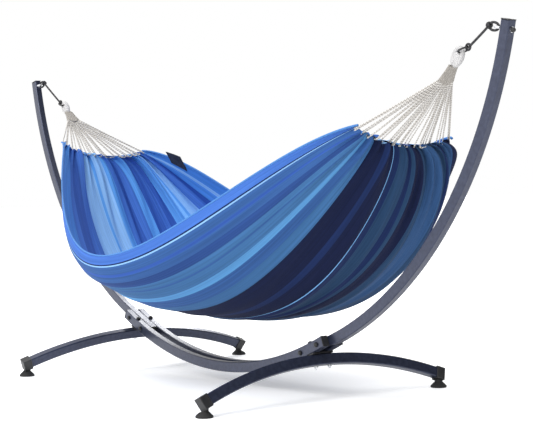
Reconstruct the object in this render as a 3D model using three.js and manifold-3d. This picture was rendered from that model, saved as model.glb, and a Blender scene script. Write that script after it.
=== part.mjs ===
// A cloth hammock hung between the tips of a free-standing curved steel stand.
// Millimetres, +Z up. The origin is on the floor under the middle of the stand,
// +X runs along the hammock and -Y is the open side of the cloth.
import * as THREE from 'three';
import { mergeVertices } from 'three/addons/utils/BufferGeometryUtils.js';
import Module from 'manifold-3d';

const wasm = await Module();
wasm.setup();

// ---------------------------------------------------------------- driving sizes

// Stand, overall
const tipX = 1608;             // from the middle to an arm tip, on the tube's centre line
const tipZ = 1285;             // height of an arm tip
const jointX = 622;            // from the middle to where the rails cross a foot bar
const railRadius = 1667;       // bend radius of the two lower rails
const railFloorGap = 48;       // under the rails' lowest point
const footHalfSpan = 545;      // from the middle to a foot, along a foot bar
const footBarEndZ = 46;        // height of a foot bar's centre line above a foot

// Tubes
const tubeDepth = 40;          // in the plane of the bend
const tubeWidth = 30;          // across the bend
const tubeWall = 2;
const tubeChamfer = 3;
const sideGap = 0.5;           // between an arm and each rail
const touchGap = 0.3;          // between pieces that rest on each other
const cutPast = 20;            // how far a cutting solid runs past what it cuts

// Joint between rails, arm and foot bar
const railPastBolt = 34;       // rail end, beyond the outer cross bolt
const armPastBolt = 28;        // arm end, beyond the inner cross bolt
const armStraight = 110;       // straight part of the arm, outside of the foot bar
const crossBoltPitch = 104;    // between the two cross bolts of a joint
const saddleThickness = 5;
const saddleLength = 46;

// Fasteners
const boltRadius = 4;
const boltClearance = 0.5;
const headRadius = 9.5;
const headHeight = 9;
const nutRadius = 8;
const nutHeight = 12;
const nutSkin = 3;
const boltPast = 7;            // how far a bolt's end stands out into its nut
const washerThickness = 2;

// Plastic plugs in the tube ends
const lidThickness = 3;
const lidChamfer = 1;
const stubLength = 16;

// Feet
const capLength = 36;
const capSkin = 4;
const capChamfer = 2;
const padRadius = 31;
const padRim = 6;
const padNeckRadius = 15;
const padNeckStart = 17;
const padRound = 5;            // the slanted steps between the pad's rim, bell and neck
const padEdge = 1;

// Hanging gear
const eyeBelowTip = 28;        // eye bolt, down the arm from its tip
const eyeRingRadius = 12;
const eyeWireRadius = 4;
const eyeStandOff = 17;        // ring centre, inside the arm's inner face
const ropeRadius = 4.2;
const ropeLoopLength = 22;     // half length of the loop through the eye
const ropeLoopWidth = 12.5;
const ropeLoopPlay = 1.6;      // between the rope's lower loop and the oval ring's wire
const knotRadius = 11;
const ringHalfLength = 21;
const ringHalfWidth = 17;
const ringWireRadius = 3.5;
const ringPlay = 2.5;           // between the oval ring and the end eye, so it can rock
const ropeLengths = { left: 250, right: 168 };   // eye bolt ring to oval ring
const ropeSlopes = { left: 24, right: 20 };      // degrees below level
const clewSlopes = { left: 40, right: 52 };      // degrees below level, end eye and web
const clewCordRadius = 8;
const clewHalfLength = 30;
const clewHalfWidth = 19;
const webLength = 60;
const webTopWidth = 38;
const webBottomWidth = 62;
const webThickness = 12;
const webEdge = 2;             // its rounded edge
const stringBarDepth = 7;      // the bar at the web's lower edge that holds the strings
const stringRadius = 2.6;
const stringCount = 16;

// Cloth, hung. Four lines run lengthwise between its gathered ends: the two hems, and
// two pull lines below the cloth that it bellies towards. Each is [y, drop below the arm
// tips] in the middle and at an end. "fall" and "round" say how sharply the two numbers
// leave their middle values.
const clothInsideTip = 551;    // from an arm tip to the gathered end, level
const clothThickness = 4;
const clothLines = {
  nearHem: { middle: [-553, 759], end: [-153, 305], fall: [1.12, 1.48] },
  nearBelly: { middle: [-692, 985], end: [-69, 367], fall: [0.74, 0.85], round: [1.4, 3] },
  farBelly: { middle: [758, 1274], end: [110, 387], fall: [0.33, 0.77], round: [3.6, 3.8] },
  farHem: { middle: [523, 730], end: [263, 345], fall: [1.35, 1.83] },
};
const threadShift = 0.126;     // threads crowd under the middle, as a share of the width
const threadShiftFall = 1.47;
const clothSteps = { along: 32, across: 14 };
const tagAlong = [-0.63, -0.545];  // where the blank tag sits, in the cloth's own shares
const tagAcross = [0.984, 1.014];
const tagThickness = 3;

// ---------------------------------------------------------------- materials

const finish = (colour, roughness, metalness) =>
  new THREE.MeshStandardMaterial({ color: colour, roughness, metalness });
const powderCoat = () => finish(0x2c3342, 0.42, 0.35);
const blackPlastic = () => finish(0x0c0c0d, 0.5, 0);
const blackRubber = () => finish(0x0a0a0a, 0.75, 0);
const zinc = () => finish(0xb9bcc0, 0.35, 1);
const blackRope = () => finish(0x101012, 0.85, 0);
const whiteCord = () => finish(0xe6e1d8, 0.9, 0);
const blueCloth = () => finish(0x2b5fae, 0.9, 0);

const hammockOnStand = new THREE.Group();

function addNode(name, geometry, material) {
  const mesh = new THREE.Mesh(geometry, material);
  mesh.name = name;
  hammockOnStand.add(mesh);
}

// ---------------------------------------------------------------- solids

function toSolid(geometry) {
  const bare = geometry.index ? geometry.toNonIndexed() : geometry.clone();
  bare.deleteAttribute('normal');
  bare.deleteAttribute('uv');
  const merged = mergeVertices(bare, 1e-3);
  return new wasm.Manifold(new wasm.Mesh({
    numProp: 3,
    vertProperties: new Float32Array(merged.attributes.position.array),
    triVerts: new Uint32Array(merged.index.array),
  }));
}

function toGeometry(solid) {
  const mesh = solid.getMesh();
  const geometry = new THREE.BufferGeometry();
  geometry.setAttribute('position', new THREE.BufferAttribute(mesh.vertProperties, 3));
  geometry.setIndex(new THREE.BufferAttribute(mesh.triVerts, 1));
  geometry.computeVertexNormals();
  return geometry;
}

const cutAll = (solid, tools) => tools.reduce((left, tool) => left.subtract(tool), solid);
const joinAll = (solids) => solids.reduce((left, right) => left.add(right));

// A point on an arc in the XZ plane. The angle runs from straight down towards +X,
// "along" follows the arc and "out" points away from its centre.
function arcFrame(arc, angle, y = 0) {
  const out = new THREE.Vector3(Math.sin(angle), 0, -Math.cos(angle));
  const along = new THREE.Vector3(Math.cos(angle), 0, Math.sin(angle));
  const at = new THREE.Vector3(arc.x, y, arc.z).addScaledVector(out, arc.radius);
  return { at, along, out };
}

// A shape extruded to a width about its own plane, with chamfered edges.
function slab(shape, width, chamfer, segments) {
  const geometry = new THREE.ExtrudeGeometry(shape, {
    depth: width - 2 * chamfer,
    curveSegments: segments,
    bevelEnabled: chamfer > 0,
    bevelThickness: chamfer,
    bevelSize: chamfer,
    bevelOffset: -chamfer,
    bevelSegments: 1,
  });
  geometry.translate(0, 0, chamfer - width / 2);
  return geometry;
}

// The same for a shape drawn in the XZ plane.
const uprightExtrusion = (shape, width, chamfer, segments) =>
  slab(shape, width, chamfer, segments).rotateX(Math.PI / 2);

// A right-hand solid, or its mirror image for the left.
const onSide = (side, solid) => (side > 0 ? solid : solid.mirror([1, 0, 0]));

// A curved bar of rectangular section in the XZ plane, centred on an arc.
function arcBar(arc, from, to, { depth, width, chamfer = 0, y = 0, segments = 16 }) {
  const quarter = Math.PI / 2;
  const shape = new THREE.Shape();
  shape.absarc(arc.x, arc.z, arc.radius + depth / 2, from - quarter, to - quarter, false);
  shape.absarc(arc.x, arc.z, arc.radius - depth / 2, to - quarter, from - quarter, true);
  shape.closePath();
  return uprightExtrusion(shape, width, chamfer, segments).translate(0, y, 0);
}

// A solid of revolution about its own axis: profile points are [radius, height].
function turned(profile, at, direction, segments = 12) {
  const points = profile.map(([radius, height]) => new THREE.Vector2(radius, height));
  const geometry = new THREE.LatheGeometry(points, segments);
  const up = new THREE.Vector3(0, 1, 0);
  geometry.applyQuaternion(new THREE.Quaternion().setFromUnitVectors(up, direction));
  geometry.translate(at.x, at.y, at.z);
  return geometry;
}

// A round rod from one point to another.
function rod(start, end, radius, segments = 12) {
  const span = end.clone().sub(start);
  const profile = [[0, 0], [radius, 0], [radius, span.length()], [0, span.length()]];
  return turned(profile, start, span.normalize(), segments);
}

// An oval link lying in the plane of two unit vectors.
function link(centre, longWay, shortWay, halfLength, halfWidth, wireRadius, segments = 20) {
  const torus = new THREE.TorusGeometry(1, 1, 8, segments);
  const position = torus.attributes.position;
  const normal = new THREE.Vector3().crossVectors(longWay, shortWay);
  for (let i = 0; i < position.count; i++) {
    const u = Math.floor(i % (segments + 1)) / segments * 2 * Math.PI;
    const v = Math.floor(i / (segments + 1)) / 8 * 2 * Math.PI;
    const ring = new THREE.Vector3()
      .addScaledVector(longWay, halfLength * Math.cos(u))
      .addScaledVector(shortWay, halfWidth * Math.sin(u));
    const away = new THREE.Vector3()
      .addScaledVector(longWay, halfWidth * Math.cos(u))
      .addScaledVector(shortWay, halfLength * Math.sin(u))
      .normalize();
    const point = centre.clone().add(ring)
      .addScaledVector(away, wireRadius * Math.cos(v))
      .addScaledVector(normal, wireRadius * Math.sin(v));
    position.setXYZ(i, point.x, point.y, point.z);
  }
  return torus;
}

// ---------------------------------------------------------------- frame geometry

const yAxis = new THREE.Vector3(0, 1, 0);
const railArc = { x: 0, z: railFloorGap + tubeDepth / 2 + railRadius, radius: railRadius };
const jointAngle = Math.asin(jointX / railRadius);
const railY = tubeWidth + sideGap;

// An arm runs straight through its joint, then bends on an arc that passes its tip.
const joint = arcFrame(railArc, jointAngle);
const bendStart = joint.at.clone().addScaledVector(joint.along, armStraight);

function armArcOf() {
  const toTip = new THREE.Vector3(tipX, 0, tipZ).sub(bendStart);
  const radius = -toTip.lengthSq() / (2 * toTip.dot(joint.out));
  const centre = bendStart.clone().addScaledVector(joint.out, -radius);
  return { x: centre.x, z: centre.z, radius };
}

const armArc = armArcOf();
const tipAngle = Math.atan2(tipX - armArc.x, armArc.z - tipZ);
const mirrored = (arc, side) => ({ x: side * arc.x, z: arc.z, radius: arc.radius });

const sideName = (side) => (side > 0 ? 'right' : 'left');
const faceName = (face) => (face > 0 ? 'back' : 'front');
const sides = [-1, 1];
const faces = [-1, 1];

// ---------------------------------------------------------------- foot bars

// A foot bar is an arch in a plane that stands square to the rails at the joint.
// Its own frame has x along the bar, y up in that plane and z across the bar.
const barDrop = tubeDepth + saddleThickness;
const crownZ = joint.at.z - barDrop * Math.cos(jointAngle);
const barRise = (crownZ - footBarEndZ) / Math.cos(jointAngle);
const barRadius = (footHalfSpan ** 2 + barRise ** 2) / (2 * barRise);
const barEndAngle = Math.asin(footHalfSpan / barRadius);
const barArc = { x: 0, z: -barRadius, radius: barRadius };

function barPlane(side) {
  const crossing = arcFrame(mirrored(railArc, side), side * jointAngle);
  const crown = crossing.at.clone().addScaledVector(crossing.out, barDrop);
  const up = crossing.out.clone().negate();
  const across = new THREE.Vector3().crossVectors(yAxis, up);
  return new THREE.Matrix4().makeBasis(yAxis, up, across).setPosition(crown);
}

// An arc bar drawn arching upwards in its plane, from one angle to another.
function archBar(side, from, to, options) {
  const quarter = Math.PI / 2;
  const { depth, width, chamfer = 0, segments = 24, lift = 0 } = options;
  const shape = new THREE.Shape();
  shape.absarc(0, barArc.z, barRadius - depth / 2, quarter - from, quarter - to, true);
  shape.absarc(0, barArc.z, barRadius + depth / 2 + lift, quarter - to, quarter - from, false);
  shape.closePath();
  return slab(shape, width, chamfer, segments).applyMatrix4(barPlane(side));
}

const boltHole = (start, end) => toSolid(rod(start, end, boltRadius + boltClearance));

// The line of an upright bolt, from above the rail to below the foot bar.
function uprightLine(side, face) {
  const crossing = arcFrame(mirrored(railArc, side), side * jointAngle, face * railY);
  const barDip = (railY + nutRadius) ** 2 / (2 * barRadius);
  return {
    top: crossing.at.clone().addScaledVector(crossing.out, -tubeDepth / 2),
    bottom: crossing.at.clone().addScaledVector(crossing.out, barDrop + tubeDepth / 2 + barDip),
    down: crossing.out,
  };
}

function uprightHoles(side) {
  return faces.map((face) => {
    const { top, bottom, down } = uprightLine(side, face);
    const reach = tubeDepth;
    return boltHole(top.clone().addScaledVector(down, -reach), bottom.clone().addScaledVector(down, reach));
  });
}

function footBar(side) {
  const outer = archBar(side, -barEndAngle, barEndAngle,
    { depth: tubeDepth, width: tubeWidth, chamfer: tubeChamfer });
  const reach = barEndAngle + cutPast / barRadius;
  const bore = archBar(side, -reach, reach,
    { depth: tubeDepth - 2 * tubeWall, width: tubeWidth - 2 * tubeWall });
  return cutAll(toSolid(outer), [toSolid(bore), ...uprightHoles(side)]);
}

// The square end cap slides over the bar's end; the pad under it is trimmed to its slope.
function capSpan(face, extra) {
  const inner = barEndAngle - (capLength - capSkin) / barRadius - extra / barRadius;
  const outer = barEndAngle + (capSkin + touchGap + extra) / barRadius;
  return face > 0 ? [inner, outer] : [-outer, -inner];
}

function footCap(side, face) {
  const [from, to] = capSpan(face, 0);
  const outer = archBar(side, from, to,
    { depth: tubeDepth + 2 * capSkin, width: tubeWidth + 2 * capSkin, chamfer: capChamfer, segments: 2 });
  const reach = barEndAngle + touchGap / barRadius;
  const past = cutPast / barRadius;
  const [voidFrom, voidTo] = face > 0 ? [from - past, reach] : [-reach, to + past];
  const hollow = archBar(side, voidFrom, voidTo,
    { depth: tubeDepth + 2 * touchGap, width: tubeWidth + 2 * touchGap, segments: 2 });
  return toSolid(outer).subtract(toSolid(hollow));
}

function footPad(side, face) {
  const plane = barPlane(side);
  const middle = barEndAngle - (capLength / 2 - capSkin) / barRadius;
  const seat = new THREE.Vector3(
    face * barRadius * Math.sin(middle), barRadius * (Math.cos(middle) - 1), 0);
  seat.applyMatrix4(plane);
  const ground = new THREE.Vector3(seat.x, seat.y, 0);
  const profile = [
    [0, 0], [padRadius - padEdge, 0], [padRadius, padEdge], [padRadius, padRim],
    [padRadius - padRound, padRim + padRound], [padNeckRadius + padRound, padNeckStart],
    [padNeckRadius, padNeckStart + padRound], [padNeckRadius, seat.z], [0, seat.z],
  ];
  const bell = toSolid(turned(profile, ground, new THREE.Vector3(0, 0, 1), 20));
  const [from, to] = capSpan(face, cutPast);
  const above = archBar(side, from, to, {
    depth: tubeDepth + 2 * (capSkin + touchGap), width: 2 * padRadius, segments: 2, lift: padRadius,
  });
  return bell.subtract(toSolid(above));
}

// ---------------------------------------------------------------- rails, arms and saddles

const crossAngles = [-1, 1].map((way) => jointAngle + way * crossBoltPitch / 2 / railRadius);
const railEndAngle = jointAngle + (crossBoltPitch / 2 + railPastBolt) / railRadius;
const armFoot = joint.at.clone().addScaledVector(joint.along, -(crossBoltPitch / 2 + armPastBolt));

function crossPoint(side, which, y = 0) {
  return arcFrame(mirrored(railArc, side), side * crossAngles[which], y).at;
}

function crossHoles(side) {
  return [0, 1].map((which) => {
    const reach = 2 * tubeWidth;
    return boltHole(crossPoint(side, which, -reach), crossPoint(side, which, reach));
  });
}

const tubeSection = { depth: tubeDepth, width: tubeWidth, chamfer: tubeChamfer };
const boreSection = { depth: tubeDepth - 2 * tubeWall, width: tubeWidth - 2 * tubeWall };
const stubSection = { depth: boreSection.depth - 2 * touchGap, width: boreSection.width - 2 * touchGap };

function rail(face) {
  const y = face * railY;
  const outer = arcBar(railArc, -railEndAngle, railEndAngle, { ...tubeSection, y, segments: 28 });
  const reach = railEndAngle + cutPast / railRadius;
  const bore = arcBar(railArc, -reach, reach, { ...boreSection, y, segments: 28 });
  const holes = sides.flatMap((side) => [...crossHoles(side), ...uprightHoles(side)]);
  return cutAll(toSolid(outer), [toSolid(bore), ...holes]);
}

function armEye(side) {
  const arc = mirrored(armArc, side);
  return arcFrame(arc, side * (tipAngle - eyeBelowTip / armArc.radius));
}

// A bar of the right arm's course: straight through the joint, then curved to the tip.
function armBar({ depth, width, chamfer = 0, extra = 0 }) {
  const quarter = Math.PI / 2;
  const start = armFoot.clone().addScaledVector(joint.along, -extra);
  const outside = start.clone().addScaledVector(joint.out, depth / 2);
  const inside = start.clone().addScaledVector(joint.out, -depth / 2);
  const last = tipAngle + extra / armArc.radius - quarter;
  const shape = new THREE.Shape();
  shape.moveTo(outside.x, outside.z);
  shape.absarc(armArc.x, armArc.z, armArc.radius + depth / 2, jointAngle - quarter, last, false);
  shape.absarc(armArc.x, armArc.z, armArc.radius - depth / 2, last, jointAngle - quarter, true);
  shape.lineTo(inside.x, inside.z);
  shape.closePath();
  return toSolid(uprightExtrusion(shape, width, chamfer, 20));
}

function arm(side) {
  const outer = onSide(side, armBar(tubeSection));
  const bore = onSide(side, armBar({ ...boreSection, extra: cutPast }));
  const eye = armEye(side);
  const eyeHole = boltHole(
    eye.at.clone().addScaledVector(eye.out, -tubeDepth), eye.at.clone().addScaledVector(eye.out, tubeDepth));
  return cutAll(outer, [bore, ...crossHoles(side), eyeHole]);
}

// A plastic plug: a lid over the tube's end and a stub inside it.
function tubePlug(arc, endAngle, outward, y) {
  const step = (length) => endAngle + outward * length / arc.radius;
  const order = (a, b) => (a < b ? [a, b] : [b, a]);
  const [lidFrom, lidTo] = order(step(touchGap), step(lidThickness));
  const [stubFrom, stubTo] = order(step(-stubLength), step(lidThickness / 2));
  const lid = arcBar(arc, lidFrom, lidTo, { ...tubeSection, chamfer: lidChamfer, y, segments: 1 });
  const stub = arcBar(arc, stubFrom, stubTo, { ...stubSection, y, segments: 1 });
  return toSolid(lid).add(toSolid(stub));
}

function armFootPlug() {
  const block = (from, to, depth, width) => {
    const box = new THREE.BoxGeometry(to - from, width, depth);
    box.translate((from + to) / 2, 0, 0);
    box.rotateY(-jointAngle);
    box.translate(armFoot.x, 0, armFoot.z);
    return toSolid(box);
  };
  const lid = block(-lidThickness, -touchGap, tubeDepth, tubeWidth);
  const stub = block(-lidThickness / 2, stubLength, stubSection.depth, stubSection.width);
  return lid.add(stub);
}

function saddle(side) {
  const middle = joint.at.clone().addScaledVector(joint.out, tubeDepth / 2 + saddleThickness / 2);
  const saddleWidth = 2 * railY + tubeWidth;
  const block = new THREE.BoxGeometry(saddleLength, saddleWidth, 3 * saddleThickness);
  block.rotateY(-jointAngle);
  block.translate(middle.x, 0, middle.z);
  const slack = 2 * touchGap;
  const span = saddleLength / railRadius;
  const underRails = arcBar(railArc, jointAngle - span, jointAngle + span,
    { depth: tubeDepth + slack, width: 3 * saddleWidth, segments: 4 });
  const barSpan = saddleWidth / barRadius;
  const overBar = archBar(1, -barSpan, barSpan, { depth: tubeDepth + slack, width: 2 * saddleLength });
  const solid = cutAll(toSolid(block), [toSolid(underRails), toSolid(overBar), ...uprightHoles(1)]);
  return onSide(side, solid);
}

for (const side of sides) {
  const hand = sideName(side);
  addNode(`foot_bar_${hand}`, toGeometry(footBar(side)), powderCoat());
  addNode(`saddle_${hand}`, toGeometry(saddle(side)), blackPlastic());
  for (const face of faces) {
    const place = `${hand}_${faceName(face)}`;
    addNode(`foot_cap_${place}`, toGeometry(footCap(side, face)), blackPlastic());
    addNode(`foot_pad_${place}`, toGeometry(footPad(side, face)), blackRubber());
    const plug = tubePlug(railArc, side * railEndAngle, side, face * railY);
    addNode(`rail_plug_${place}`, toGeometry(plug), blackPlastic());
  }
  addNode(`arm_${hand}`, toGeometry(arm(side)), powderCoat());
  const arc = mirrored(armArc, side);
  addNode(`arm_top_plug_${hand}`, toGeometry(tubePlug(arc, side * tipAngle, side, 0)), blackPlastic());
  addNode(`arm_foot_plug_${hand}`, toGeometry(onSide(side, armFootPlug())), blackPlastic());
}
for (const face of faces) {
  addNode(`rail_${faceName(face)}`, toGeometry(rail(face)), powderCoat());
}

// ---------------------------------------------------------------- fasteners

// A dome-headed bolt: the head's flat is at the start, the shank runs along the line.
function domeBolt(start, direction, length) {
  const profile = [
    [0, length], [boltRadius, length], [boltRadius, -touchGap], [headRadius, -touchGap],
    [headRadius, -0.3 * headHeight], [0.75 * headRadius, -0.75 * headHeight], [0, -headHeight],
  ];
  return turned(profile.reverse(), start, direction);
}

// A cap nut with a blind bore that takes the bolt's end.
function capNut(start, direction, boltEnd) {
  const bore = boltRadius + touchGap;
  const top = Math.max(nutHeight, boltEnd + nutSkin);
  const profile = [
    [0, boltEnd + touchGap], [bore, boltEnd + touchGap], [bore, touchGap], [nutRadius, touchGap],
    [nutRadius, 0.55 * top], [0.7 * nutRadius, 0.85 * top], [0, top + nutSkin],
  ];
  return turned(profile, start, direction);
}

for (const side of sides) {
  for (const which of [0, 1]) {
    const name = `${sideName(side)}_${which ? 'outer' : 'inner'}`;
    const edge = railY + tubeWidth / 2;
    const front = crossPoint(side, which, -edge);
    const back = crossPoint(side, which, edge);
    const bolt = domeBolt(front, yAxis, 2 * edge + boltPast);
    addNode(`cross_bolt_${name}`, toGeometry(toSolid(bolt)), blackPlastic());
    addNode(`cross_nut_${name}`, toGeometry(toSolid(capNut(back, yAxis, boltPast))), blackPlastic());
  }
  for (const face of faces) {
    const name = `${sideName(side)}_${faceName(face)}`;
    const { top, bottom, down } = uprightLine(side, face);
    const length = top.distanceTo(bottom) + boltPast;
    addNode(`upright_bolt_${name}`, toGeometry(toSolid(domeBolt(top, down, length))), blackPlastic());
    addNode(`upright_nut_${name}`, toGeometry(toSolid(capNut(bottom, down, boltPast))), zinc());
  }
}

// ---------------------------------------------------------------- hanging gear

const degrees = Math.PI / 180;
const slopeWay = (side, slope) =>
  new THREE.Vector3(-side * Math.cos(slope * degrees), 0, -Math.sin(slope * degrees));

for (const side of sides) {
  const hand = sideName(side);
  const eye = armEye(side);
  const inward = eye.out.clone().negate();
  const ringCentre = eye.at.clone().addScaledVector(inward, tubeDepth / 2 + eyeStandOff);
  const outerFace = eye.at.clone().addScaledVector(eye.out, tubeDepth / 2);

  // Eye bolt through the arm, with a washer and a cap nut on the outer face.
  const shankEnd = outerFace.clone().addScaledVector(eye.out, washerThickness + boltPast);
  const shankStart = ringCentre.clone().addScaledVector(eye.out, eyeRingRadius);
  const shank = toSolid(rod(shankStart, shankEnd, boltRadius));
  const ring = toSolid(link(ringCentre, inward, yAxis, eyeRingRadius, eyeRingRadius, eyeWireRadius, 16));
  addNode(`eye_bolt_${hand}`, toGeometry(ring.add(shank)), zinc());
  const bore = boltRadius + boltClearance;
  const washerProfile = [
    [bore, touchGap], [headRadius, touchGap], [headRadius, washerThickness], [bore, washerThickness],
    [bore, touchGap],
  ];
  addNode(`eye_washer_${hand}`, toGeometry(toSolid(turned(washerProfile, outerFace, eye.out))), zinc());
  const nutSeat = outerFace.clone().addScaledVector(eye.out, washerThickness);
  addNode(`eye_nut_${hand}`, toGeometry(toSolid(capNut(nutSeat, eye.out, boltPast))), blackPlastic());

  // Rope: a loop through the eye, a knot, one strand and a loop round the oval ring.
  const ropeWay = slopeWay(side, ropeSlopes[hand]);
  const ovalCentre = ringCentre.clone().addScaledVector(ropeWay, ropeLengths[hand]);
  const loopCentre = ringCentre.clone().addScaledVector(inward, ropeLoopLength);
  const loopUp = new THREE.Vector3().crossVectors(inward, yAxis);
  const knot = ringCentre.clone().addScaledVector(inward, 2 * ropeLoopLength);
  const wireNear = ovalCentre.clone().addScaledVector(ropeWay, -ringHalfLength);
  const smallLoop = ringWireRadius + ropeRadius + ropeLoopPlay;
  const strandEnd = wireNear.clone().addScaledVector(ropeWay, -smallLoop);
  const knotBall = new THREE.SphereGeometry(knotRadius, 10, 8);
  knotBall.scale(1.25, 0.9, 1);
  knotBall.translate(knot.x, knot.y, knot.z);
  const ropeUp = new THREE.Vector3().crossVectors(ropeWay, yAxis);
  const rope = joinAll([
    toSolid(link(loopCentre, inward, loopUp, ropeLoopLength, ropeLoopWidth, ropeRadius)),
    toSolid(knotBall),
    toSolid(rod(knot, strandEnd, ropeRadius, 8)),
    toSolid(link(wireNear, ropeWay, ropeUp, smallLoop, smallLoop, ropeRadius, 14)),
  ]);
  addNode(`rope_${hand}`, toGeometry(rope), blackRope());
  const oval = link(ovalCentre, ropeWay, yAxis, ringHalfLength, ringHalfWidth, ringWireRadius);
  addNode(`ring_${hand}`, toGeometry(toSolid(oval)), blackPlastic());

  // End eye of the hammock: a thick wrapped cord loop through the oval ring.
  const wireFar = ovalCentre.clone().addScaledVector(ropeWay, ringHalfLength);
  const clewWay = slopeWay(side, clewSlopes[hand]);
  const clewUp = new THREE.Vector3().crossVectors(clewWay, yAxis);
  const wireToCord = clewCordRadius + ringWireRadius + ringPlay;
  const eyeCentre = wireFar.clone().addScaledVector(clewWay, clewHalfLength - wireToCord);
  const clewEye = link(eyeCentre, clewWay, clewUp, clewHalfLength, clewHalfWidth, clewCordRadius);
  addNode(`clew_eye_${hand}`, toGeometry(toSolid(clewEye)), whiteCord());

  // Woven web: a flat band that widens from the end eye to the strings.
  const webStart = eyeCentre.clone()
    .addScaledVector(clewWay, clewHalfLength + clewCordRadius + touchGap);
  const webShape = new THREE.Shape();
  webShape.moveTo(0, -webTopWidth / 2);
  webShape.quadraticCurveTo(webLength / 2, -webTopWidth / 2, webLength, -webBottomWidth / 2);
  webShape.lineTo(webLength, webBottomWidth / 2);
  webShape.quadraticCurveTo(webLength / 2, webTopWidth / 2, 0, webTopWidth / 2);
  webShape.closePath();
  const web = new THREE.ExtrudeGeometry(webShape, {
    depth: webThickness - 2 * webEdge, curveSegments: 5, bevelEnabled: true,
    bevelThickness: webEdge, bevelSize: webEdge, bevelOffset: -webEdge, bevelSegments: 1,
  });
  web.translate(0, 0, webEdge - webThickness / 2);
  const webNormal = new THREE.Vector3().crossVectors(clewWay, yAxis);
  web.applyMatrix4(new THREE.Matrix4().makeBasis(clewWay, yAxis, webNormal).setPosition(webStart));
  addNode(`clew_web_${hand}`, toGeometry(toSolid(web)), whiteCord());

  // Fan of end strings from a bar at the web's lower edge to the gathered end of the cloth.
  const headStart = webStart.clone().addScaledVector(clewWay, webLength + touchGap);
  const head = new THREE.BoxGeometry(stringBarDepth, webBottomWidth, webThickness - 2 * webEdge);
  const headMiddle = headStart.clone().addScaledVector(clewWay, stringBarDepth / 2);
  head.applyMatrix4(new THREE.Matrix4().makeBasis(clewWay, yAxis, webNormal).setPosition(headMiddle));
  const strings = [toSolid(head)];
  for (let i = 0; i < stringCount; i++) {
    const share = (i + 0.5) / stringCount;
    const start = headMiddle.clone()
      .addScaledVector(yAxis, (share - 0.5) * (webBottomWidth - 3 * stringRadius));
    const hole = clothPoint(side, share);
    const way = hole.clone().sub(start).normalize();
    const end = hole.clone().addScaledVector(way, -(clothThickness + stringRadius));
    strings.push(toSolid(rod(start, end, stringRadius, 6)));
  }
  addNode(`clew_strings_${hand}`, toGeometry(joinAll(strings)), whiteCord());
}

// ---------------------------------------------------------------- cloth

// The hung cloth's middle surface: "along" runs from -1 to 1 between the gathered
// ends and "across" from 0 at the near hem to 1 at the far hem.
function clothPoint(along, across) {
  const clothHalfLength = tipX - clothInsideTip;
  const x = clothHalfLength * Math.sin(along * Math.PI / 2);
  const reach = Math.abs(x / clothHalfLength);
  const hemShare = Math.max(0, Math.cos(reach * Math.PI / 2));
  const lineAt = ({ middle, end, fall, round }) => [0, 1].map((i) => {
    const share = round ? Math.max(0, 1 - reach ** round[i]) : hemShare;
    return end[i] + (middle[i] - end[i]) * share ** fall[i];
  });
  const controls = Object.values(clothLines).map(lineAt);
  const middleShare = Math.max(0, 1 - reach ** 2) ** threadShiftFall;
  const s = across + middleShare * threadShift * Math.sin(2 * Math.PI * across);
  const weights = [(1 - s) ** 3, 3 * (1 - s) ** 2 * s, 3 * (1 - s) * s ** 2, s ** 3];
  const blend = (i) => controls.reduce((sum, control, k) => sum + weights[k] * control[i], 0);
  return new THREE.Vector3(x, blend(0), tipZ - blend(1));
}

function clothNormal(along, across) {
  const step = 1e-3;
  const clampOne = (value, low, high) => Math.min(high, Math.max(low, value));
  const a = clampOne(along, -1 + step, 1 - step);
  const c = clampOne(across, step, 1 - step);
  const alongWay = clothPoint(a + step, c).sub(clothPoint(a - step, c));
  const acrossWay = clothPoint(a, c + step).sub(clothPoint(a, c - step));
  return alongWay.cross(acrossWay).normalize();
}

// A patch of the cloth's surface as a closed sheet of some thickness.
function clothSheet(alongRange, acrossRange, alongSteps, acrossSteps, offset, thickness) {
  const positions = [];
  const rowLength = acrossSteps + 1;
  for (const face of [-0.5, 0.5]) {
    for (let i = 0; i <= alongSteps; i++) {
      for (let j = 0; j <= acrossSteps; j++) {
        const along = alongRange[0] + (alongRange[1] - alongRange[0]) * i / alongSteps;
        const across = acrossRange[0] + (acrossRange[1] - acrossRange[0]) * j / acrossSteps;
        const point = clothPoint(along, across)
          .addScaledVector(clothNormal(along, across), offset + face * thickness);
        positions.push(point.x, point.y, point.z);
      }
    }
  }
  const layer = (alongSteps + 1) * rowLength;
  const at = (face, i, j) => face * layer + i * rowLength + j;
  const index = [];
  const quad = (a, b, c, d) => index.push(a, b, c, a, c, d);
  for (let i = 0; i < alongSteps; i++) {
    for (let j = 0; j < acrossSteps; j++) {
      quad(at(1, i, j), at(1, i + 1, j), at(1, i + 1, j + 1), at(1, i, j + 1));
      quad(at(0, i, j), at(0, i, j + 1), at(0, i + 1, j + 1), at(0, i + 1, j));
    }
    quad(at(0, i, 0), at(0, i + 1, 0), at(1, i + 1, 0), at(1, i, 0));
    quad(at(1, i, acrossSteps), at(1, i + 1, acrossSteps), at(0, i + 1, acrossSteps), at(0, i, acrossSteps));
  }
  for (let j = 0; j < acrossSteps; j++) {
    quad(at(1, 0, j), at(1, 0, j + 1), at(0, 0, j + 1), at(0, 0, j));
    quad(at(0, alongSteps, j), at(0, alongSteps, j + 1), at(1, alongSteps, j + 1), at(1, alongSteps, j));
  }
  const geometry = new THREE.BufferGeometry();
  geometry.setAttribute('position', new THREE.Float32BufferAttribute(positions, 3));
  geometry.setIndex(index);
  return geometry;
}

const wholeCloth = (thickness) =>
  toSolid(clothSheet([-1, 1], [0, 1], clothSteps.along, clothSteps.across, 0, thickness));
addNode('hammock_cloth', toGeometry(wholeCloth(clothThickness)), blueCloth());

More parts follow.
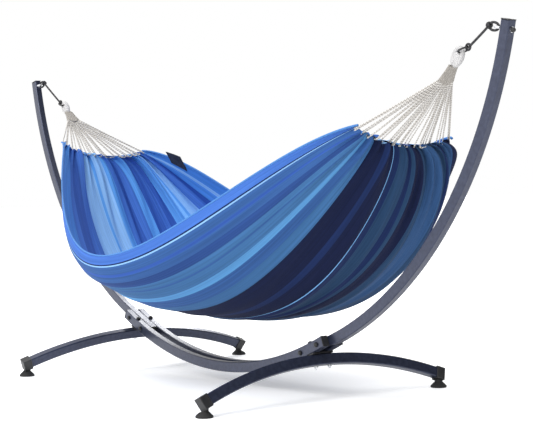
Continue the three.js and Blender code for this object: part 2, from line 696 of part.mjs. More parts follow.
// A small blank tag sewn to the inside of the far hem, standing up past its edge. It is
// laid against the cloth's facets.
const tagOffset = (clothThickness + tagThickness) / 2 + touchGap;
const tagBlank = toSolid(clothSheet(tagAlong, tagAcross, 3, 4, tagOffset, tagThickness));
const clothAndGap = wholeCloth(clothThickness + 2 * touchGap);
addNode('hem_tag', toGeometry(tagBlank.subtract(clothAndGap)), finish(0x15171f, 0.8, 0));

export default hammockOnStand;
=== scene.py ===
# %% [markdown]
# Hammock on a curved steel stand. The steel stand already exists as exact solids,
# so this lesson is about everything that gives it a look: the paint, the ropes, the
# cords and above all the cloth.

import math
import random

import bmesh
import bpy
from mathutils import Matrix, Vector, noise


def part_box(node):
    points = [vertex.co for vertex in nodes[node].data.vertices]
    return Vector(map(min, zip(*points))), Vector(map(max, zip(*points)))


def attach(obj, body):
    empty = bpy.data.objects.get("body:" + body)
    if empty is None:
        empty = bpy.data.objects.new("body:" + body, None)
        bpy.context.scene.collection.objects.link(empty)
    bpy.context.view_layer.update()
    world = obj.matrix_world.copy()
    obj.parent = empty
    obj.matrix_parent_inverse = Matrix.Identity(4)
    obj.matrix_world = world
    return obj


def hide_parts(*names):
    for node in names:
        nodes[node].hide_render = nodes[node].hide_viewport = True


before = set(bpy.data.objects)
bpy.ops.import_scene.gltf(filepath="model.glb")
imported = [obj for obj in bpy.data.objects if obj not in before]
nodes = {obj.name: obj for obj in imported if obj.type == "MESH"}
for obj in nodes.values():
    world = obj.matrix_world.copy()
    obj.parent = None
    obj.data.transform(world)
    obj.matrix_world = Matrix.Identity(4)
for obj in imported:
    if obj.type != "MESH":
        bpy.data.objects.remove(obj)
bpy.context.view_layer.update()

# %% [markdown]
# Camera first. It stands low beyond the right foot, on the open side of the cloth. A long
# lens keeps both tips of the stand in view.

# %% Camera
CAMERA_PLACE = (4.8366, -3.2067, 0.8271)
CAMERA_TURN, CAMERA_TILT, CAMERA_ROLL = 54.689, -1.667, -0.892
CAMERA_LENS = 98.66

camera = bpy.data.objects.new("camera", bpy.data.cameras.new("camera"))
bpy.context.scene.collection.objects.link(camera)
camera.data.lens, camera.data.sensor_width = CAMERA_LENS, 36.0
camera.matrix_world = (
    Matrix.Translation(CAMERA_PLACE)
    @ Matrix.Rotation(math.radians(CAMERA_TURN), 4, "Z")
    @ Matrix.Rotation(math.radians(90 + CAMERA_TILT), 4, "X")
    @ Matrix.Rotation(math.radians(CAMERA_ROLL), 4, "Z")
)
bpy.context.scene.camera = camera
print("camera at", CAMERA_PLACE, "lens", CAMERA_LENS)

# %% [markdown]
# Soft studio light. The camera sees a plain white world, but surfaces are lit by one that
# is bright above on the open side and dim behind the right end. So the tubes' tops shine,
# their near sides are mid grey and their outer sides stay dark. A lamp in front makes the
# cloth's folds readable, one behind the left end puts bright bands on the rails. The
# floor glows a little, to meet the white behind.

# %% Floor, world and lamps
bpy.ops.object.select_all(action="DESELECT")
bpy.ops.mesh.primitive_plane_add(size=60, location=(0, 0, 0))
floor = bpy.context.object
floor.name = "floor"

world = bpy.data.worlds.new("studio")
bpy.context.scene.world = world
world.use_nodes = True
tree = world.node_tree
backdrop = tree.nodes["Background"]
facing = tree.nodes.new("ShaderNodeVectorMath")
facing.operation = "DOT_PRODUCT"
tree.links.new(tree.nodes.new("ShaderNodeTexCoord").outputs["Generated"], facing.inputs[0])
facing.inputs[1].default_value = (-0.35, -0.50, 0.79)
glow = tree.nodes.new("ShaderNodeMapRange")
tree.links.new(facing.outputs["Value"], glow.inputs["Value"])
glow.inputs["From Min"].default_value, glow.inputs["From Max"].default_value = -0.25, 1.0
glow.inputs["To Min"].default_value, glow.inputs["To Max"].default_value = 0.04, 2.0
seen = tree.nodes.new("ShaderNodeMath")
seen.operation = "MAXIMUM"
tree.links.new(glow.outputs["Result"], seen.inputs[0])
tree.links.new(tree.nodes.new("ShaderNodeLightPath").outputs["Is Camera Ray"], seen.inputs[1])
tree.links.new(seen.outputs["Value"], backdrop.inputs["Strength"])
backdrop.inputs["Color"].default_value = (1, 1, 1, 1)


def add_lamp(name, place, aim, size, power):
    """A square soft lamp at a place, turned towards the aim point."""
    lamp = bpy.data.objects.new(name, bpy.data.lights.new(name, "AREA"))
    lamp.data.size, lamp.data.energy = size, power
    lamp.location = place
    lamp.rotation_euler = (Vector(aim) - Vector(place)).to_track_quat("-Z", "Y").to_euler()
    bpy.context.scene.collection.objects.link(lamp)
    return lamp


add_lamp("key_lamp", (1.5, -4.5, 4.5), (0, 0, 0.6), 2.5, 160)
add_lamp("back_lamp", (-3.5, 3.5, 3.5), (0, 0, 0.3), 2.0, 120)
bpy.context.scene.view_settings.view_transform = "Standard"

# %% [markdown]
# Materials are small node trees. Two helpers keep them short: one starts a material
# with its Principled shader, the other adds a node and links its inputs by name.


# %% Material helpers
def start_material(name, roughness, metallic=0.0, colour=(0.5, 0.5, 0.5)):
    """A new material; returns it with its tree and its Principled shader."""
    material = bpy.data.materials.new(name)
    material.use_nodes = True
    tree = material.node_tree
    shader = tree.nodes["Principled BSDF"]
    shader.inputs["Base Color"].default_value = (*colour, 1)
    shader.inputs["Roughness"].default_value = roughness
    shader.inputs["Metallic"].default_value = metallic
    return material, tree, shader


def put(tree, kind, settings=None, **links):
    """Adds a node. A link's value is either an output socket or a plain value."""
    node = tree.nodes.new(kind)
    for key, value in (settings or {}).items():
        setattr(node, key, value)
    for key, value in links.items():
        by_number = key[0] == "_" and key[1:].isdigit()
        socket = node.inputs[int(key[1:]) if by_number else key.replace("_", " ")]
        if isinstance(value, bpy.types.NodeSocket):
            tree.links.new(value, socket)
        else:
            socket.default_value = value
    return node


def math_node(tree, operation, a, b=0.0):
    """A Math node's result."""
    return put(tree, "ShaderNodeMath", {"operation": operation}, _0=a, _1=b).outputs[0]


def ramp(tree, fac, stops, interpolation="LINEAR"):
    """A colour ramp with (place, colour) stops."""
    node = put(tree, "ShaderNodeValToRGB", Fac=fac)
    node.color_ramp.interpolation = interpolation
    elements = node.color_ramp.elements
    while len(elements) > 1:
        elements.remove(elements[-1])
    elements[0].position, elements[0].color = stops[0][0], (*stops[0][1], 1)
    for place, colour in stops[1:]:
        elements.new(place).color = (*colour, 1)
    return node.outputs["Color"]


# %% [markdown]
# Grain is the effect nearly every finish needs: a fine bump and a slight unevenness of
# roughness and tone. It is a node group, built once, with its scale and strength as
# inputs. It puts out a tone mask, a roughness and a normal, never a shader.


# %% Shared grain group
def build_grain():
    """Node group: Scale, Depth and Roughness in; Tone, Roughness and Normal out."""
    group = bpy.data.node_groups.new("surface_grain", "ShaderNodeTree")
    face = group.interface
    face.new_socket("Vector", in_out="INPUT", socket_type="NodeSocketVector")
    for name in ("Scale", "Depth", "Roughness", "Spread"):
        face.new_socket(name, in_out="INPUT", socket_type="NodeSocketFloat")
    face.new_socket("Tone", in_out="OUTPUT", socket_type="NodeSocketFloat")
    face.new_socket("Roughness", in_out="OUTPUT", socket_type="NodeSocketFloat")
    face.new_socket("Normal", in_out="OUTPUT", socket_type="NodeSocketVector")
    given = group.nodes.new("NodeGroupInput")
    result = group.nodes.new("NodeGroupOutput")
    where, scale, depth = (given.outputs[name] for name in ("Vector", "Scale", "Depth"))
    fine = put(group, "ShaderNodeTexNoise", Vector=where, Scale=scale, Detail=3.0)
    coarse_scale = math_node(group, "MULTIPLY", scale, 0.05)
    coarse = put(group, "ShaderNodeTexNoise", Vector=where, Scale=coarse_scale, Detail=2.0)
    away = math_node(group, "SUBTRACT", coarse.outputs["Fac"], 0.5)
    change = math_node(group, "MULTIPLY", away, given.outputs["Spread"])
    rough = math_node(group, "ADD", given.outputs["Roughness"], change)
    bump = put(group, "ShaderNodeBump", Strength=1.0, Distance=depth, Height=fine.outputs["Fac"])
    group.links.new(coarse.outputs["Fac"], result.inputs["Tone"])
    group.links.new(rough, result.inputs["Roughness"])
    group.links.new(bump.outputs["Normal"], result.inputs["Normal"])
    return group


GRAIN = build_grain()


def add_grain(tree, shader, scale, depth, roughness, spread, dark, light):
    """Places the grain group in a material and tints the base colour between two tones."""
    where = put(tree, "ShaderNodeTexCoord").outputs["Object"]
    grain = put(
        tree, "ShaderNodeGroup", {"node_tree": GRAIN},
        Vector=where, Scale=scale, Depth=depth, Roughness=roughness, Spread=spread,
    )
    colour = ramp(tree, grain.outputs["Tone"], [(0.35, dark), (0.65, light)])
    tree.links.new(colour, shader.inputs["Base Color"])
    tree.links.new(grain.outputs["Roughness"], shader.inputs["Roughness"])
    tree.links.new(grain.outputs["Normal"], shader.inputs["Normal"])


# %% [markdown]
# The frame is powder-coated in a dark blue slate: a satin finish with the fine pebble of
# baked powder. Fine metal flakes in the paint carry part of the shine, and a weak clear
# layer gives the bright bands that tubes show along their tops.

# %% Frame and fittings materials
coat, tree, shader = start_material("powder_coat", 0.4)
add_grain(tree, shader, 1400.0, 0.00012, 0.38, 0.12, (0.022, 0.028, 0.058), (0.032, 0.040, 0.076))
shader.inputs["Metallic"].default_value = 0.6
shader.inputs["Coat Weight"].default_value = 0.4
shader.inputs["Coat Roughness"].default_value = 0.22

plastic, tree, shader = start_material("black_moulded_plastic", 0.5)
add_grain(tree, shader, 900.0, 0.0001, 0.46, 0.1, (0.008, 0.008, 0.009), (0.016, 0.016, 0.018))

rubber, tree, shader = start_material("black_rubber", 0.8)
add_grain(tree, shader, 500.0, 0.0002, 0.78, 0.15, (0.007, 0.007, 0.007), (0.015, 0.015, 0.015))

zinc, tree, shader = start_material("bright_zinc", 0.3, metallic=1.0)
add_grain(tree, shader, 300.0, 0.00004, 0.28, 0.25, (0.55, 0.56, 0.58), (0.80, 0.81, 0.83))


def dress(material, *beginnings):
    """Gives a material to every solid whose name starts so."""
    chosen = [o for n, o in nodes.items() if n.startswith(beginnings)]
    for piece in chosen:
        piece.data.materials.clear()
        piece.data.materials.append(material)
    print(material.name, "on", len(chosen), "solids")


dress(coat, "foot_bar", "arm_left", "arm_right", "rail_front", "rail_back")
dress(plastic, "saddle", "foot_cap", "rail_plug", "arm_top_plug", "arm_foot_plug", "ring_",
      "cross_", "upright_bolt", "eye_nut")
dress(rubber, "foot_pad")
dress(zinc, "upright_nut", "eye_bolt", "eye_washer")

floor_paint, tree, shader = start_material("studio_floor", 1.0, colour=(0.9, 0.9, 0.9))
shader.inputs["Specular IOR Level"].default_value = 0.0
shader.inputs["Emission Color"].default_value = (1, 1, 1, 1)
shader.inputs["Emission Strength"].default_value = 0.3
floor.data.materials.append(floor_paint)

# %% [markdown]
# The cloth's hung shape. Four lines run lengthwise: the two hems, and two pull lines
# under the cloth that it bellies towards. At every station along the hammock the four
# points on those lines are the handles of one smooth cross-section. This is the same
# construction as the solid, so the soft cloth sits where the solid is.

# %% Hung shape
CLOTH_HALF_LENGTH = 1.057
CLOTH_LINES = {
    # line: (y, z) in the middle, at an end, how sharply they fall, how round the middle is
    "near_hem": ((-0.553, 0.526), (-0.153, 0.980), (1.12, 1.48), None),
    "near_belly": ((-0.692, 0.300), (-0.069, 0.918), (0.74, 0.85), (1.4, 3.0)),
    "far_belly": ((0.758, 0.011), (0.110, 0.898), (0.33, 0.77), (3.6, 3.8)),
    "far_hem": ((0.523, 0.555), (0.263, 0.940), (1.35, 1.83), None),
}
THREAD_SHIFT, THREAD_SHIFT_FALL = 0.126, 1.47


def hung_point(along, across):
    """Middle surface of the hung cloth: along is -1 to 1, across is 0 at the near hem."""
    x = CLOTH_HALF_LENGTH * math.sin(along * math.pi / 2)
    reach = abs(x / CLOTH_HALF_LENGTH)
    hem_share = max(0.0, math.cos(reach * math.pi / 2))
    middle_share = max(0.0, 1 - reach**2) ** THREAD_SHIFT_FALL
    s = across + middle_share * THREAD_SHIFT * math.sin(2 * math.pi * across)
    weights = ((1 - s) ** 3, 3 * (1 - s) ** 2 * s, 3 * (1 - s) * s**2, s**3)
    found = [0.0, 0.0]
    for (middle, end, fall, roundness), weight in zip(CLOTH_LINES.values(), weights):
        for i in (0, 1):
            share = max(0.0, 1 - reach ** roundness[i]) if roundness else hem_share
            found[i] += weight * (end[i] + (middle[i] - end[i]) * share ** fall[i])
    return Vector((x, *found))


def hung_normal(along, across):
    """Direction square to the hung cloth, on its inside."""
    step = 1e-3
    a = min(1 - step, max(step - 1, along))
    c = min(1 - step, max(step, across))
    lengthwise = hung_point(a + step, c) - hung_point(a - step, c)
    crosswise = hung_point(a, c + step) - hung_point(a, c - step)
    return lengthwise.cross(crosswise).normalized()


print("lowest point of the cloth:", round(min(hung_point(0, i / 40).z for i in range(41)), 3))

# %% [markdown]
# Gathers. Each end of the cloth is drawn up on sixteen pairs of strings, so it stands in
# scallops there: the threads between two pairs bow outwards and the strings hold them
# back. The folds run lengthwise from the gathers and die away towards the middle, where
# the weight of the cloth pulls it smooth. A few long soft waves stay along its length.

# %% Folds
STRING_PAIRS = 16
GATHER_DEPTH = 0.015
random.seed(7)
FOLD_SHIFTS = [random.uniform(-0.5, 0.5) for _ in range(12)]


def fold_height(along, across):
    """How far the cloth stands off its smooth hung shape, inwards positive."""
    to_end = abs(along)
    near_end = max(0.0, (to_end - 0.2) / 0.8)
    drift = 0.35 * math.sin(3.1 * across + 2.0 * along + FOLD_SHIFTS[0])
    gathers = math.cos(2 * math.pi * (STRING_PAIRS * across + drift * (1 - near_end)))
    strength = 0.6 + 0.8 * noise.noise(Vector((across * 9, along * 1.5, 3.0)))
    height = -GATHER_DEPTH * near_end**2 * gathers * strength
    ends = math.sin(math.pi * min(1, max(0, across)))
    for k, (waves, size) in enumerate(((5.2, 0.0055), (8.7, 0.0045), (14.3, 0.0028), (23.1, 0.0014))):
        shift = FOLD_SHIFTS[k + 1]
        turn = waves * across + shift + 0.12 * along * waves
        height += size * (0.4 + near_end) * math.sin(2 * math.pi * turn)
    height += 0.004 * noise.noise(Vector((along * 2.5, across * 7.0, 1.0))) * ends
    return height * min(1.0, 8 * across + 0.3) * min(1.0, 8 * (1 - across) + 0.3)


def end_scallop(along, across):
    """How far a thread's end is drawn back between two pairs of strings, in metres."""
    near_end = max(0.0, (abs(along) - 0.8) / 0.2)
    between = 0.5 - 0.5 * math.cos(2 * math.pi * (STRING_PAIRS * across - 0.5))
    return 0.014 * near_end**2 * (1 - between)


def cloth_point(along, across, lift=0.0):
    """A point of the finished cloth, with its folds, lifted off its middle surface."""
    base = hung_point(along, across)
    normal = hung_normal(along, across)
    base += normal * (fold_height(along, across) + lift)
    if abs(along) > 0.8:
        inward = hung_point(along - math.copysign(0.05, along), across) - hung_point(along, across)
        base += inward.normalized() * end_scallop(along, across)
    return base


# %% [markdown]
# The cloth itself is a fine grid with a UV map: U along the threads, V across the
# stripes. Solidify gives it the thickness of heavy woven cotton.

# %% Cloth
ALONG_STEPS, ACROSS_STEPS = 220, 192


def grid_piece(name, steps, place):
    """A grid mesh with a UV map; place(u, v) gives each point for u, v from 0 to 1."""
    across_count = steps[1] + 1
    points, texture, faces = [], [], []
    for i in range(steps[0] + 1):
        for j in range(across_count):
            u, v = i / steps[0], j / steps[1]
            points.append(place(u, v))
            texture.append((u, v))
    for i in range(steps[0]):
        for j in range(steps[1]):
            a = i * across_count + j
            faces.append((a, a + across_count, a + across_count + 1, a + 1))
    mesh = bpy.data.meshes.new(name)
    mesh.from_pydata(points, [], faces)
    layer = mesh.uv_layers.new(name="thread_map")
    for loop in mesh.loops:
        layer.data[loop.index].uv = texture[loop.vertex_index]
    piece = bpy.data.objects.new(name, mesh)
    bpy.context.scene.collection.objects.link(piece)
    return piece


def use_modifier(piece, kind, **settings):
    """Adds a modifier, sets it and applies it."""
    bpy.ops.object.select_all(action="DESELECT")
    piece.select_set(True)
    bpy.context.view_layer.objects.active = piece
    modifier = piece.modifiers.new(kind.lower(), kind)
    for key, value in settings.items():
        setattr(modifier, key, value)
    bpy.ops.object.modifier_apply(modifier=modifier.name)


def smooth(piece):
    """Smooth shading all over."""
    piece.data.polygons.foreach_set("use_smooth", [True] * len(piece.data.polygons))
    return piece


cloth = grid_piece("cloth_bed", (ALONG_STEPS, ACROSS_STEPS), lambda u, v: cloth_point(2 * u - 1, v))
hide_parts("hammock_cloth")
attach(cloth, "hammock")
print("cloth grid faces:", len(cloth.data.polygons))

# %% [markdown]
# Stripes are woven in, so they follow the threads exactly. A ramp across V holds the
# order of colours. The two faces of the weave differ: the outside shows the dark warp,
# the inside the pale weft, so each skin of the thickened sheet has its own ramp. Slubs
# and streaks run along the threads, and a fine bump carries the weave itself.

# %% Cloth material
NIGHT = (0.004, 0.009, 0.042)
NAVY = (0.007, 0.020, 0.085)
DEEP = (0.028, 0.086, 0.35)
ROYAL = (0.046, 0.135, 0.46)
COBALT = (0.018, 0.055, 0.20)
HARBOUR = (0.030, 0.092, 0.27)
BRIGHT = (0.060, 0.215, 0.58)
STEEL = (0.040, 0.125, 0.29)
SLATE = (0.026, 0.075, 0.19)
LIGHT_STEEL = (0.082, 0.255, 0.52)
TEAL = (0.016, 0.048, 0.115)
SKY = (0.090, 0.285, 0.66)
AQUA = (0.190, 0.440, 0.80)
PALE = (0.220, 0.420, 0.72)
OUTSIDE = (
    (0.00, ROYAL), (0.024, NAVY), (0.028, PALE), (0.032, HARBOUR), (0.058, DEEP), (0.066, HARBOUR),
    (0.085, COBALT), (0.103, STEEL), (0.118, HARBOUR), (0.124, STEEL),
    (0.145, LIGHT_STEEL), (0.162, HARBOUR), (0.195, STEEL), (0.223, NIGHT), (0.290, NAVY), (0.310, NIGHT),
    (0.366, AQUA), (0.370, NAVY), (0.400, TEAL), (0.455, NAVY), (0.480, TEAL), (0.495, NIGHT),
    (0.550, TEAL), (0.600, SLATE), (0.680, TEAL), (0.740, NAVY), (0.790, SLATE), (0.860, NIGHT),
    (0.940, NAVY),
)
INSIDE = (
    (0.00, BRIGHT), (0.026, PALE), (0.032, BRIGHT), (0.130, ROYAL), (0.150, DEEP), (0.190, ROYAL),
    (0.235, PALE), (0.320, SKY), (0.330, PALE), (0.395, SKY), (0.440, ROYAL), (0.470, DEEP),
    (0.510, ROYAL), (0.545, SKY), (0.600, DEEP), (0.650, ROYAL), (0.685, DEEP), (0.730, SKY),
    (0.790, AQUA), (0.815, SKY), (0.830, PALE), (0.890, ROYAL), (0.925, DEEP), (0.945, BRIGHT),
    (0.968, PALE), (0.975, BRIGHT),
)


def weave_material(name, stripes, brightness):
    """Striped cotton for one skin of the cloth, from its stripes across the threads."""
    material, tree, shader = start_material(name, 0.9)
    uv = put(tree, "ShaderNodeUVMap", {"uv_map": "thread_map"}).outputs["UV"]
    parts = put(tree, "ShaderNodeSeparateXYZ", Vector=uv)
    colour = ramp(tree, parts.outputs["Y"], stripes, "CONSTANT")
    yarn = {"Vector": uv, "Distortion": 1.0, "Detail": 2.0}
    warp = put(tree, "ShaderNodeTexWave", {"bands_direction": "Y"}, Scale=160.0, **yarn)
    weft = put(tree, "ShaderNodeTexWave", {"bands_direction": "X"}, Scale=240.0, **yarn)
    weave = math_node(tree, "MULTIPLY", warp.outputs["Fac"], weft.outputs["Fac"])
    slubs = put(tree, "ShaderNodeMapping", Vector=uv, Scale=(5.0, 190.0, 1.0)).outputs["Vector"]
    streaks = put(tree, "ShaderNodeTexNoise", Vector=slubs, Scale=1.0, Detail=3.0)
    tone = math_node(tree, "MULTIPLY", streaks.outputs["Fac"], 0.8)
    tone = math_node(tree, "ADD", tone, math_node(tree, "MULTIPLY", weave, 0.15))
    tone = math_node(tree, "ADD", tone, brightness)
    shaded = put(tree, "ShaderNodeVectorMath", {"operation": "SCALE"}, _0=colour, Scale=tone)
    tree.links.new(shaded.outputs["Vector"], shader.inputs["Base Color"])
    bump = put(tree, "ShaderNodeBump", Strength=0.5, Distance=0.0006, Height=weave)
    tree.links.new(bump.outputs["Normal"], shader.inputs["Normal"])
    shader.inputs["Specular IOR Level"].default_value = 0.2
    return material


cloth.data.materials.append(weave_material("striped_cotton_inside", INSIDE, 0.6))
cloth.data.materials.append(weave_material("striped_cotton_outside", OUTSIDE, 0.5))
use_modifier(cloth, "SOLIDIFY", thickness=0.0016, offset=0, material_offset=1)
smooth(cloth)
print("stripes:", len(OUTSIDE), "outside,", len(INSIDE), "inside, faces:", len(cloth.data.polygons))

# %% [markdown]
# Hems. Each long edge is rolled and stitched, so it reads as a soft round welt a few
# millimetres thick. A tube is swept along the edge's own line, a little flattened.


# %% Tubes along a line
def tube_piece(name, lines, radii, sides=8, flat=1.0):
    """One mesh of round tubes along lists of points, each closed with a cap."""
    shape = bmesh.new()
    layer = shape.loops.layers.uv.new("thread_map")
    for line, radius in zip(lines, radii):
        rings, run = [], 0.0
        side_way = None
        for i, point in enumerate(line):
            ahead = line[min(i + 1, len(line) - 1)] - line[max(i - 1, 0)]
            ahead.normalize()
            if side_way is None:
                side_way = ahead.orthogonal().normalized()
            side_way = (side_way - ahead * side_way.dot(ahead)).normalized()
            up_way = ahead.cross(side_way)
            if i:
                run += (point - line[i - 1]).length
            ring = []
            for k in range(sides):
                turn = 2 * math.pi * k / sides
                aside, above = radius * math.cos(turn), radius * flat * math.sin(turn)
                ring.append(shape.verts.new(point + side_way * aside + up_way * above))
            rings.append((ring, run))
        for (a, start), (b, stop) in zip(rings, rings[1:]):
            for k in range(sides):
                face = shape.faces.new((a[k], a[(k + 1) % sides], b[(k + 1) % sides], b[k]))
                near_u, far_u = k / sides, (k + 1) / sides
                corners = ((near_u, start), (far_u, start), (far_u, stop), (near_u, stop))
                for loop, at in zip(face.loops, corners):
                    loop[layer].uv = at
        shape.faces.new(rings[0][0][::-1])
        shape.faces.new(rings[-1][0])
    bmesh.ops.recalc_face_normals(shape, faces=shape.faces[:])
    mesh = bpy.data.meshes.new(name)
    shape.to_mesh(mesh)
    shape.free()
    piece = bpy.data.objects.new(name, mesh)
    bpy.context.scene.collection.objects.link(piece)
    return smooth(piece)


near_line = [cloth_point(-1 + 2 * i / 160, 0.0) for i in range(161)]
far_line = [cloth_point(-1 + 2 * i / 160, 1.0) for i in range(161)]
hem_near = tube_piece("hem_near", [near_line], [0.0042], flat=0.75)
hem_far = tube_piece("hem_far", [far_line], [0.0042], flat=0.75)
hem_paint, tree, shader = start_material("hem_cotton", 0.85)
uv = put(tree, "ShaderNodeUVMap", {"uv_map": "thread_map"}).outputs["UV"]
twill = put(
    tree, "ShaderNodeTexWave", {"bands_direction": "DIAGONAL"}, Vector=uv, Scale=120.0, Distortion=0.6
)
hem_tones = [(0.2, (0.04, 0.15, 0.42)), (0.8, (0.08, 0.25, 0.60))]
tree.links.new(ramp(tree, twill.outputs["Fac"], hem_tones), shader.inputs["Base Color"])
bump = put(tree, "ShaderNodeBump", Strength=0.5, Distance=0.0005, Height=twill.outputs["Fac"])
tree.links.new(bump.outputs["Normal"], shader.inputs["Normal"])
for hem in (hem_near, hem_far):
    hem.data.materials.append(hem_paint)
    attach(hem, "hammock")
print("hem length:", round(sum((b - a).length for a, b in zip(near_line, near_line[1:])), 3))

# %% [markdown]
# A small blank woven tag is sewn to the inside of the far hem and stands up past its edge.

# %% Hem tag
tag_paint, tree, shader = start_material("woven_tag", 0.8)
add_grain(tree, shader, 1200.0, 0.0002, 0.8, 0.1, (0.010, 0.012, 0.025), (0.022, 0.026, 0.045))
tag = grid_piece("tag", (12, 6), lambda u, v: cloth_point(-0.63 + 0.085 * u, 0.985 + 0.029 * v, 0.0038))
use_modifier(tag, "SOLIDIFY", thickness=0.0012, offset=0)
tag.data.materials.append(tag_paint)
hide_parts("hem_tag")
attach(tag, "hammock")

# %% [markdown]
# Hanging gear. The ropes, rings and end eyes hang in the plane of the arms. Their places
# come from the solids: each ring's middle is the middle of its own box, and the eye's
# middle is where the rope's hinge is.

# %% Places of the hanging gear
SIDES = {"left": -1, "right": 1}
ROPE_SLOPE = {"left": math.radians(24), "right": math.radians(20)}
CLEW_SLOPE = {"left": math.radians(40), "right": math.radians(52)}
EYE_CENTRE = {side: Vector((sign * 1.56595, 0, 1.2659)) for side, sign in SIDES.items()}
UP, ASIDE = Vector((0, 0, 1)), Vector((0, 1, 0))


def downhill(side, slope):
    """The direction down and inwards at a slope."""
    return Vector((-SIDES[side] * math.cos(slope), 0, -math.sin(slope)))


def middle_of(node):
    """Middle of a solid's box."""
    low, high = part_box(node)
    return (low + high) / 2


RING_CENTRE = {side: middle_of(f"ring_{side}") for side in SIDES}
CLEW_CENTRE = {side: middle_of(f"clew_eye_{side}") for side in SIDES}
WEB_CENTRE = {side: middle_of(f"clew_web_{side}") for side in SIDES}
print("ring middles:", {s: [round(c, 3) for c in v] for s, v in RING_CENTRE.items()})


# %% Curve through points
def smooth_line(points, steps=10):
    """A smooth line through points, as more points."""
    line = []
    for i in range(len(points) - 1):
        before = points[max(i - 1, 0)]
        a, b = points[i], points[i + 1]
        after = points[min(i + 2, len(points) - 1)]
        for k in range(steps):
            t = k / steps
            line.append(
                0.5 * (2 * a + (b - before) * t + (2 * before - 5 * a + 4 * b - after) * t * t
                       + (3 * a - before - 3 * b + after) * t**3)
            )
    return line + [points[-1].copy()]


# %% [markdown]
# Cord materials read the tube's own UV map: V runs along the cord in metres, U round it.
# Diagonal waves in both turn into the lay of twisted or braided yarn at its real pitch.


# %% Cord materials
def cord_material(name, dark, light, pitch, roughness):
    """Twisted yarn: a diagonal wave that climbs round the cord once a pitch."""
    material, tree, shader = start_material(name, roughness)
    uv = put(tree, "ShaderNodeUVMap", {"uv_map": "thread_map"}).outputs["UV"]
    scaled = put(tree, "ShaderNodeMapping", Vector=uv, Scale=(3.0, 1 / pitch, 1.0)).outputs["Vector"]
    lay = put(
        tree, "ShaderNodeTexWave", {"bands_direction": "DIAGONAL"},
        Vector=scaled, Scale=0.32, Distortion=0.4, Detail=1.0,
    )
    tree.links.new(ramp(tree, lay.outputs["Fac"], [(0.15, dark), (0.75, light)]), shader.inputs["Base Color"])
    bump = put(tree, "ShaderNodeBump", Strength=0.8, Distance=0.0008, Height=lay.outputs["Fac"])
    tree.links.new(bump.outputs["Normal"], shader.inputs["Normal"])
    return material


rope_paint = cord_material("black_rope", (0.006, 0.006, 0.007), (0.028, 0.028, 0.032), 0.009, 0.75)
# The end strings are white cord. The lay pattern is the cord's own, but both tones are greys well below
# white, which paint the cord's shade.
shaded_cord_paint = cord_material("white_cord", (0.30, 0.28, 0.26), (0.66, 0.64, 0.61), 0.006, 0.9)

# %% [markdown]
# Each black rope is one straight taut strand. At the eye bolt it is tied back on itself
# in a loop with a fat knot, and at the ring it ends in a tight spliced loop. The knots and
# loops are pieces on the strand.

# %% Ropes
ROPE_RADIUS = 0.0042
KNOT_REACH = 0.044


def torus_line(centre, long_way, short_way, half_length, half_width, count=36):
    """Points round a closed oval, without the repeated last one."""
    turns = [2 * math.pi * i / count for i in range(count)]
    return [
        centre + long_way * (half_length * math.cos(t)) + short_way * (half_width * math.sin(t))
        for t in turns
    ]


def closed_tube(name, loops, radius, sides=10):
    """Closed loops of tube as one mesh."""
    lines = [loop + [loop[0].copy(), loop[1].copy()] for loop in loops]
    return tube_piece(name, lines, [radius] * len(lines), sides)


for side in SIDES:
    eye = EYE_CENTRE[side]
    inward = downhill(side, -math.asin(0.2044))
    knot = eye + inward * KNOT_REACH
    way = downhill(side, ROPE_SLOPE[side])
    ring = RING_CENTRE[side]
    strand_end = ring - way * 0.0303
    normal = inward.cross(ASIDE)
    loop = torus_line(eye + inward * 0.022, inward, normal, 0.022, 0.0125)
    small = torus_line(ring - way * 0.021, way, way.cross(ASIDE), 0.0093, 0.0093, 24)
    turns = []
    for k, (tilt, size) in enumerate(((0.5, 0.0082), (-0.6, 0.0078), (1.4, 0.0072))):
        axis = (way * math.cos(tilt) + ASIDE * math.sin(tilt)).normalized()
        across = axis.orthogonal().normalized()
        middle = knot + axis * (0.003 * (k - 1))
        turns.append(torus_line(middle, across, axis.cross(across), size, size * 0.9, 24))
    ties = closed_tube(f"rope_ties_{side}", [loop, small, *turns], ROPE_RADIUS)
    ties.data.materials.append(rope_paint)
    count = 24
    sag = 0.0006
    shares = [i / count for i in range(count + 1)]
    path = [knot.lerp(strand_end, t) - UP * (sag * math.sin(math.pi * t)) for t in shares]
    strand = tube_piece(f"rope_strand_{side}", [path], [ROPE_RADIUS], 12)
    strand.data.materials.append(rope_paint)
    for piece in (ties, strand):
        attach(piece, f"rope_{side}")
    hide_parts(f"rope_{side}")

# %% [markdown]
# End eyes. All the end strings of the hammock pass round the ring in one bundle, which
# is wrapped with thinner cord into a fat white eye. Shorter loops fill it below the ring,
# and its surface shows the turns of the wrapping.

# %% End eyes
shaded_eye_paint, tree, shader = start_material("wrapped_cord", 0.9)
uv = put(tree, "ShaderNodeUVMap", {"uv_map": "thread_map"}).outputs["UV"]
turns = put(tree, "ShaderNodeMapping", Vector=uv, Scale=(1.0, 320.0, 1.0)).outputs["Vector"]
wrap = put(
    tree, "ShaderNodeTexWave", {"bands_direction": "Y"},
    Vector=turns, Scale=0.3, Distortion=0.8, Detail=2.0,
)
# The wrapping cord is white; both tones are greys well below white, which paint shade over the whole eye.
wrap_tones_painted_shade = [(0.1, (0.30, 0.30, 0.32)), (0.7, (0.64, 0.63, 0.62))]
tree.links.new(ramp(tree, wrap.outputs["Fac"], wrap_tones_painted_shade), shader.inputs["Base Color"])
bump = put(tree, "ShaderNodeBump", Strength=0.7, Distance=0.0015, Height=wrap.outputs["Fac"])
tree.links.new(bump.outputs["Normal"], shader.inputs["Normal"])

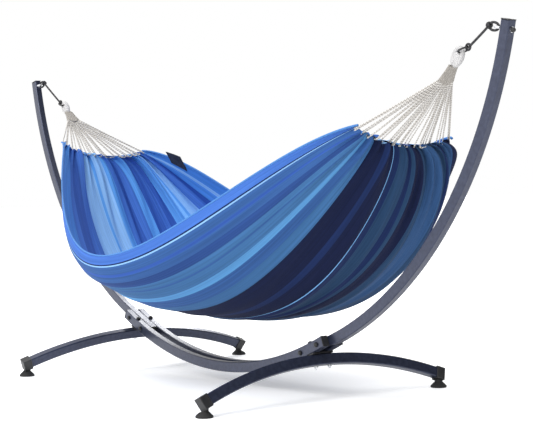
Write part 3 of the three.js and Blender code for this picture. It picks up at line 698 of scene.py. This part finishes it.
for side in SIDES:
    way = downhill(side, CLEW_SLOPE[side])
    rings = ((0.0, 0.030, 0.019), (0.009, 0.018, 0.011), (0.011, 0.011, 0.004))
    loops = [
        torus_line(CLEW_CENTRE[side] + way * shift, way, way.cross(ASIDE), long, wide, 48)
        for shift, long, wide in rings
    ]
    fat = closed_tube(f"end_eye_{side}", loops, 0.008, 16)
    fat.data.materials.append(shaded_eye_paint)
    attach(fat, "hammock")
    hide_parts(f"clew_eye_{side}")

# %% [markdown]
# The woven web below each eye is a flat plait of the same strings. Its surface is a
# basket weave in a greyer, coarser yarn.

# %% Webs
web_paint, tree, shader = start_material("plaited_web", 0.95)
uv = put(tree, "ShaderNodeUVMap", {"uv_map": "thread_map"}).outputs["UV"]
down = put(tree, "ShaderNodeTexWave", {"bands_direction": "X"}, Vector=uv, Scale=5.0)
side_on = put(tree, "ShaderNodeTexWave", {"bands_direction": "Y"}, Vector=uv, Scale=5.0)
plait = math_node(tree, "MAXIMUM", down.outputs["Fac"], side_on.outputs["Fac"])
web_tones = [(0.3, (0.20, 0.18, 0.16)), (0.9, (0.52, 0.49, 0.45))]
tree.links.new(ramp(tree, plait, web_tones), shader.inputs["Base Color"])
bump = put(tree, "ShaderNodeBump", Strength=1.0, Distance=0.002, Height=plait)
tree.links.new(bump.outputs["Normal"], shader.inputs["Normal"])
for side in SIDES:
    way = downhill(side, CLEW_SLOPE[side])
    face = way.cross(ASIDE)

    def web_place(u, v, middle=WEB_CENTRE[side], way=way, face=face):
        width = 0.037 + 0.025 * u**1.5
        swell = 0.004 * math.sin(math.pi * v)
        point_down = 0.018 * (1 - abs(2 * v - 1)) * u
        down = 0.06 * (u - 0.5) - 0.006 + point_down
        return middle + way * down + ASIDE * (width * (v - 0.5)) + face * swell

    web = grid_piece(f"web_{side}", (16, 14), web_place)
    use_modifier(web, "SOLIDIFY", thickness=0.008, offset=0)
    smooth(web)
    web.data.materials.append(web_paint)
    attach(web, "hammock")
    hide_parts(f"clew_web_{side}")

# %% [markdown]
# End strings. From the lower edge of the web the strings fan out in pairs, one pair to
# each gather of the cloth, where they pass through the hem in a small loop.

# %% Strings
for side, sign in SIDES.items():
    way = downhill(side, CLEW_SLOPE[side])
    lines, radii = [], []
    start_line = WEB_CENTRE[side] + way * 0.022
    for i in range(STRING_PAIRS):
        share = (i + 0.5) / STRING_PAIRS
        for twin in (-1, 1):
            aside = (share - 0.5) * 0.054 + twin * 0.0009
            start = start_line + ASIDE * aside + way.cross(ASIDE) * (twin * 0.0026)
            hole = cloth_point(sign, share + twin * 0.006)
            inside = cloth_point(sign * 0.985, share + twin * 0.006)
            reach = (hole - start).length
            middle = start.lerp(hole, 0.5) - UP * (0.004 * reach)
            lines.append(smooth_line([start, middle, hole, inside], 6))
            radii.append(0.0023)
    fan = tube_piece(f"string_fan_{side}", lines, radii, 6)
    fan.data.materials.append(shaded_cord_paint)
    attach(fan, "hammock")
    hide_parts(f"clew_strings_{side}")
    print(side, "fan:", len(lines), "strings")
